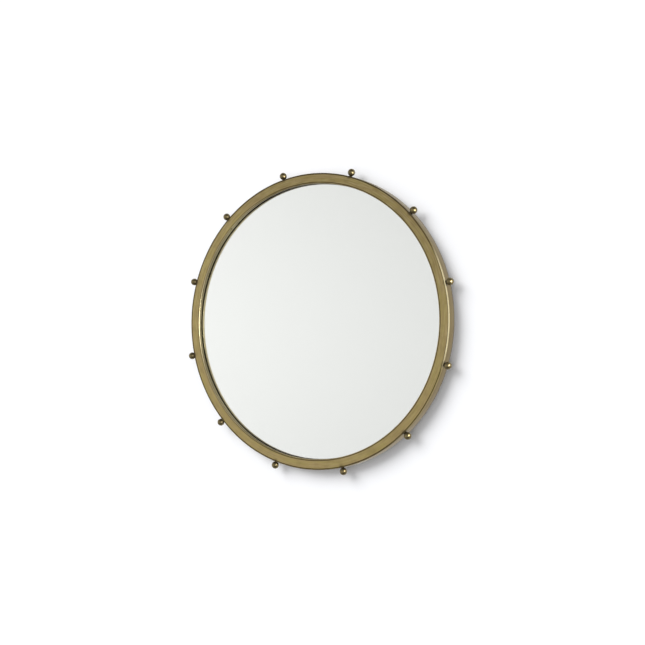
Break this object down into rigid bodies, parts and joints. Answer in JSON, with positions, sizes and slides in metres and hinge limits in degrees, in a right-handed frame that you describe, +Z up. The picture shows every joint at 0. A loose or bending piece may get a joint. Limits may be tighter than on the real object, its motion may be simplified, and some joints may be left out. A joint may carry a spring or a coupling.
{
  "type": "wall mirror",
  "caption": "Round wall mirror in a deep brass frame with ball finials round its edge, hung by swinging D-rings on its back.",
  "frame": {"origin": "centre of the plane of the frame's back edge, which meets the wall", "axes": "+Y out of the back, into the wall; +Z up; +X to the right of someone who looks into the mirror"},
  "size_m": [0.7884, 0.0359, 0.7884],
  "materials": {
    "hoop_brass": "aged, brushed and lacquered",
    "face_brass": "aged, brushed and lacquered",
    "lip_brass": "aged, brushed and lacquered",
    "ball_brass": "aged, brushed and lacquered",
    "glass": "clear float glass",
    "silver": "silvered, painted behind",
    "tape": "closed-cell foam",
    "board": "raw fibreboard",
    "tab_brass": "aged, brushed and lacquered",
    "zinc": "bright zinc plate",
    "screw_steel": "zinc plate"
  },
  "bodies": {
    "frame": {"outer_hoop": "hoop_brass", "face_ring": "face_brass", "inner_lip": "lip_brass", "ball_finial_01": "ball_brass", "ball_finial_02": "ball_brass", "ball_finial_03": "ball_brass", "ball_finial_04": "ball_brass", "ball_finial_05": "ball_brass", "ball_finial_06": "ball_brass", "ball_finial_07": "ball_brass", "ball_finial_08": "ball_brass", "ball_finial_09": "ball_brass", "ball_finial_10": "ball_brass", "ball_finial_11": "ball_brass", "ball_finial_12": "ball_brass", "finial_studs": "screw_steel", "glazing_tape": "tape", "mirror_glass": "glass", "silver_backing": "silver", "backing_board": "board", "board_tabs": "tab_brass", "board_screws": "screw_steel", "hanger_strap_left": "zinc", "hanger_strap_right": "zinc", "hanger_screws": "screw_steel"},
    "ring_left": {"hanger_ring_left": "zinc"},
    "ring_right": {"hanger_ring_right": "zinc"}
  },
  "joints": [
    {"name": "ring_left_swing", "type": "hinge", "parent": "frame", "child": "ring_left", "pos_m": [-0.2, -0.0046, 0.17], "axis": [1, 0, 0], "range_deg": [0, 178]},
    {"name": "ring_right_swing", "type": "hinge", "parent": "frame", "child": "ring_right", "pos_m": [0.2, -0.0046, 0.17], "axis": [1, 0, 0], "range_deg": [0, 178]}
  ]
}
